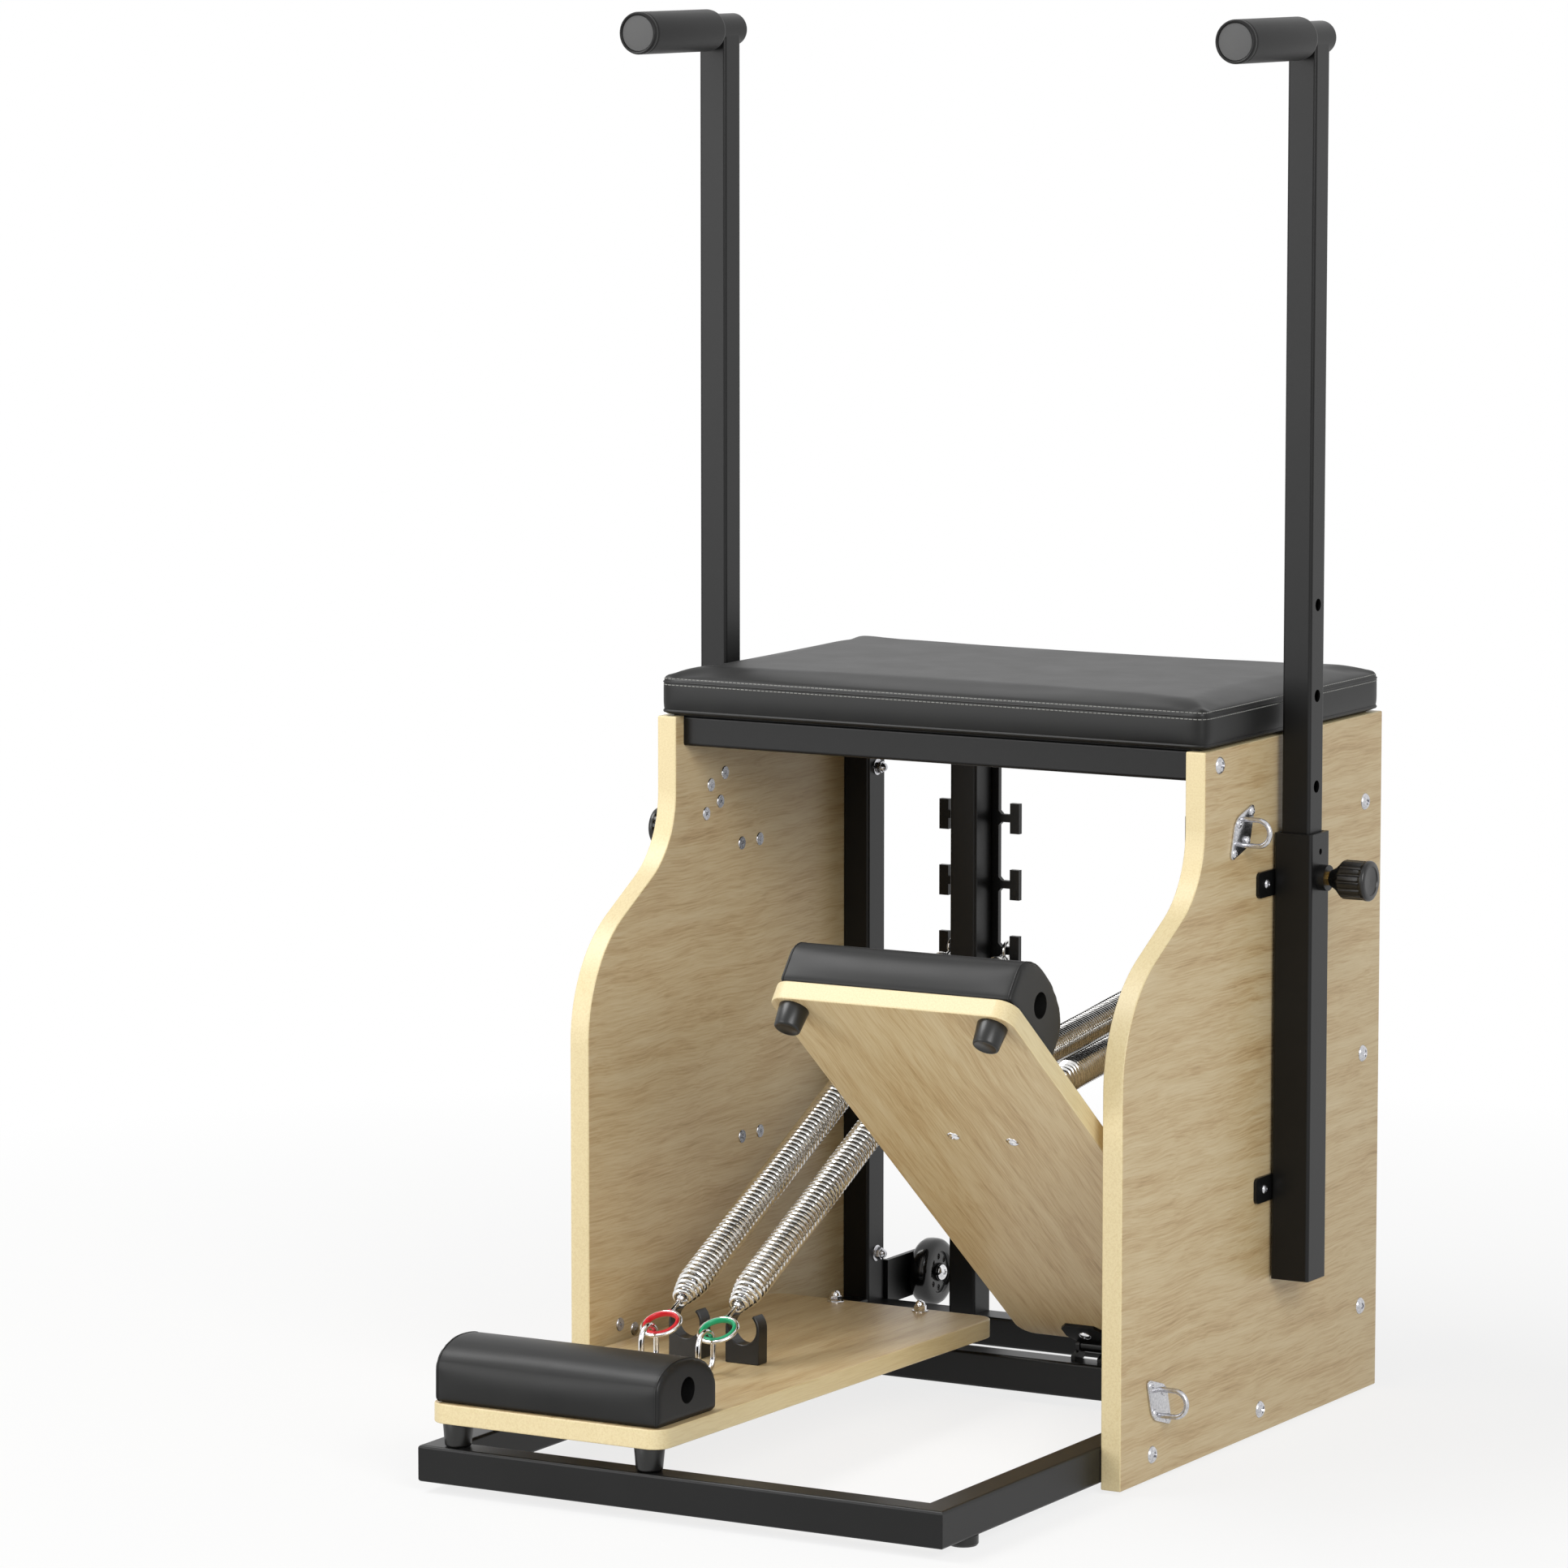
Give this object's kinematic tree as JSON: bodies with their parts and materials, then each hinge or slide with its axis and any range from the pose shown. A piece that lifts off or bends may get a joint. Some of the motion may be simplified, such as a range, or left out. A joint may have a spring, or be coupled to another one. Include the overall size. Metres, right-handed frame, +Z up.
{
  "type": "pilates chair",
  "caption": "Sprung exercise chair with an upholstered seat, two hinged pedals on coil springs, height-adjustable hand grips and transport wheels.",
  "frame": {"origin": "on the floor, midway across and midway along the depth, under the box's centre", "axes": "+X to the right as seen from the front, +Y towards the back, +Z up"},
  "size_m": [0.794, 0.9559, 1.3678],
  "materials": {
    "veneered_plywood": "satin clear lacquer",
    "black_frame": "satin powder coat",
    "black_upholstery": "satin artificial leather",
    "black_rubber": "moulded",
    "black_plastic": "moulded satin",
    "foam_grip": "closed-cell foam",
    "bright_chrome": "bright plated",
    "spring_steel": "nickel plated",
    "brass": "turned",
    "liner_plastic": "moulded gloss",
    "gloss_wheel_plastic": "moulded gloss"
  },
  "bodies": {
    "base": {"base_front_bar": "black_frame", "base_left_bar": "black_frame", "base_right_bar": "black_frame", "hinge_cross_bar": "black_frame", "base_rear_bar": "black_frame", "rear_seat_rail": "black_frame", "front_seat_rail": "black_frame", "left_rear_post": "black_frame", "right_rear_post": "black_frame", "left_hook_post": "black_frame", "right_hook_post": "black_frame", "left_side_panel": "veneered_plywood", "right_side_panel": "veneered_plywood", "seat_board": "veneered_plywood", "seat_cushion": "black_upholstery", "left_sleeve": "black_frame", "right_sleeve": "black_frame", "sleeve_brackets": "black_frame", "lock_bushes": "brass", "base_feet": "black_rubber", "panel_bolts": "bright_chrome", "panel_screws": "bright_chrome", "band_eyes": "bright_chrome", "wheel_brackets": "black_frame", "wheel_axles": "bright_chrome", "hinge_brackets": "black_frame"},
    "left_pedal": {"left_pedal_board": "veneered_plywood", "left_pedal_pad": "black_upholstery", "left_pedal_bumpers": "black_rubber", "left_spring_eyes": "bright_chrome", "left_spring_cradles": "black_plastic", "left_hinge_leaves": "black_frame", "left_pedal_bolts": "bright_chrome"},
    "left_swivels": {"left_spring_swivels": "bright_chrome", "left_ring_liners": "liner_plastic"},
    "left_spring_tops": {"left_springs": "spring_steel", "left_spring_hooks": "spring_steel"},
    "left_spring_ends": {"left_spring_plugs": "bright_chrome"},
    "left_handle": {"left_handle_post": "black_frame", "left_grip": "foam_grip"},
    "left_lock": {"left_lock_pin": "bright_chrome"},
    "left_knob": {"left_lock_knob": "black_plastic"},
    "left_roller": {"left_wheel": "gloss_wheel_plastic"},
    "right_pedal": {"right_pedal_board": "veneered_plywood", "right_pedal_pad": "black_upholstery", "right_pedal_bumpers": "black_rubber", "right_spring_eyes": "bright_chrome", "right_spring_cradles": "black_plastic", "right_hinge_leaves": "black_frame", "right_pedal_bolts": "bright_chrome"},
    "right_swivels": {"right_spring_swivels": "bright_chrome", "right_ring_liners": "liner_plastic"},
    "right_spring_tops": {"right_springs": "spring_steel", "right_spring_hooks": "spring_steel"},
    "right_spring_ends": {"right_spring_plugs": "bright_chrome"},
    "right_handle": {"right_handle_post": "black_frame", "right_grip": "foam_grip"},
    "right_lock": {"right_lock_pin": "bright_chrome"},
    "right_knob": {"right_lock_knob": "black_plastic"},
    "right_roller": {"right_wheel": "gloss_wheel_plastic"}
  },
  "joints": [
    {"name": "left_pedal_hinge", "type": "hinge", "parent": "base", "child": "left_pedal", "pos_m": [-0.14, 0.183, 0.058], "axis": [-1, 0, 0], "range_deg": [0, 37.92]},
    {"name": "left_swivel_hinge", "type": "hinge", "parent": "left_pedal", "child": "left_swivels", "pos_m": [-0.14, -0.23429, 0.11269], "axis": [-1, 0, 0], "range_deg": [-18.22, 0]},
    {"name": "left_spring_top_hinge", "type": "hinge", "parent": "base", "child": "left_spring_tops", "pos_m": [-0.14, 0.373, 0.413], "axis": [-1, 0, 0], "range_deg": [0, 19.9]},
    {"name": "left_spring_stretch", "type": "slide", "parent": "left_spring_tops", "child": "left_spring_ends", "axis": [0, 0.8964, 0.4433], "range_m": [0, 0.1893], "deforming": ["left_springs"]},
    {"name": "left_handle_slide", "type": "slide", "parent": "base", "child": "left_handle", "axis": [0, 0, 1], "range_m": [-0.2625, 0.0875]},
    {"name": "left_lock_pull", "type": "slide", "parent": "base", "child": "left_lock", "axis": [-1, 0, 0], "range_m": [0, 0.012], "stiffness_N_per_m": 250, "springref_m": -0.01},
    {"name": "left_knob_turn", "type": "hinge", "parent": "left_lock", "child": "left_knob", "pos_m": [-0.38, 0.1625, 0.546], "axis": [-1, 0, 0], "continuous": true},
    {"name": "left_wheel_spin", "type": "hinge", "parent": "base", "child": "left_roller", "pos_m": [-0.233, 0.443, 0.057], "axis": [1, 0, 0], "continuous": true},
    {"name": "right_pedal_hinge", "type": "hinge", "parent": "base", "child": "right_pedal", "pos_m": [0.14, 0.183, 0.058], "axis": [-1, 0, 0], "range_deg": [-37.92, 0], "stiffness_Nm_per_rad": 40, "springref_deg": 20.05},
    {"name": "right_swivel_hinge", "type": "hinge", "parent": "right_pedal", "child": "right_swivels", "pos_m": [0.14, -0.11258, 0.35759], "axis": [-1, 0, 0], "range_deg": [0, 18.22]},
    {"name": "right_spring_top_hinge", "type": "hinge", "parent": "base", "child": "right_spring_tops", "pos_m": [0.14, 0.373, 0.413], "axis": [-1, 0, 0], "range_deg": [-19.9, 0]},
    {"name": "right_spring_stretch", "type": "slide", "parent": "right_spring_tops", "child": "right_spring_ends", "axis": [0, 0.9936, 0.1134], "range_m": [-0.1893, 0], "deforming": ["right_springs"]},
    {"name": "right_handle_slide", "type": "slide", "parent": "base", "child": "right_handle", "axis": [0, 0, 1], "range_m": [-0.2625, 0.0875]},
    {"name": "right_lock_pull", "type": "slide", "parent": "base", "child": "right_lock", "axis": [1, 0, 0], "range_m": [0, 0.012], "stiffness_N_per_m": 250, "springref_m": -0.01},
    {"name": "right_knob_turn", "type": "hinge", "parent": "right_lock", "child": "right_knob", "pos_m": [0.38, 0.1625, 0.546], "axis": [1, 0, 0], "continuous": true},
    {"name": "right_wheel_spin", "type": "hinge", "parent": "base", "child": "right_roller", "pos_m": [0.233, 0.443, 0.057], "axis": [1, 0, 0], "continuous": true}
  ],
  "couplings": [
    {"joint": "left_swivel_hinge", "follows": "left_pedal_hinge", "ratio": -0.47776},
    {"joint": "left_spring_top_hinge", "follows": "left_pedal_hinge", "ratio": 0.52224},
    {"joint": "left_spring_stretch", "follows": "left_pedal_hinge", "m_per_rad": 0.28521},
    {"joint": "right_swivel_hinge", "follows": "right_pedal_hinge", "ratio": -0.47776},
    {"joint": "right_spring_top_hinge", "follows": "right_pedal_hinge", "ratio": 0.52224},
    {"joint": "right_spring_stretch", "follows": "right_pedal_hinge", "m_per_rad": 0.28521}
  ]
}
